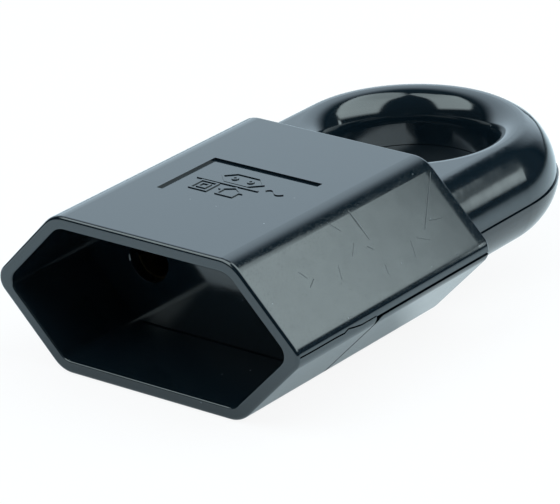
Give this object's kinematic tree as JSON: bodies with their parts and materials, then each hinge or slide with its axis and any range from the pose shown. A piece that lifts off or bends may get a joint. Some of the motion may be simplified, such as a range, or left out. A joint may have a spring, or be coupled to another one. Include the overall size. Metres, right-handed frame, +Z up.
{
  "type": "inline power socket",
  "caption": "Flat hexagonal two-pin inline socket with a deep plug recess, split rear body and a rounded pull ring that takes the cord.",
  "frame": {"origin": "centre of the underside's bounding box, with the flat underside at Z = 0", "axes": "X across the two pins, Y along the socket from the plug recess to the pull ring, Z up from the underside"},
  "size_m": [0.0404, 0.0634, 0.0181],
  "materials": {
    "shell_plastic": "glossy black moulded plastic with hairline scratches",
    "cover_plastic": "glossy black moulded plastic",
    "contact_brass": "bare brass strip",
    "screw_steel": "zinc-plated steel"
  },
  "bodies": {
    "root": {"upper_shell": "shell_plastic", "lower_cover": "cover_plastic", "contact_left": "contact_brass", "contact_right": "contact_brass", "clamp_washers": "screw_steel", "terminal_screws": "screw_steel", "threaded_inserts": "contact_brass", "cover_screws": "screw_steel"}
  },
  "joints": []
}
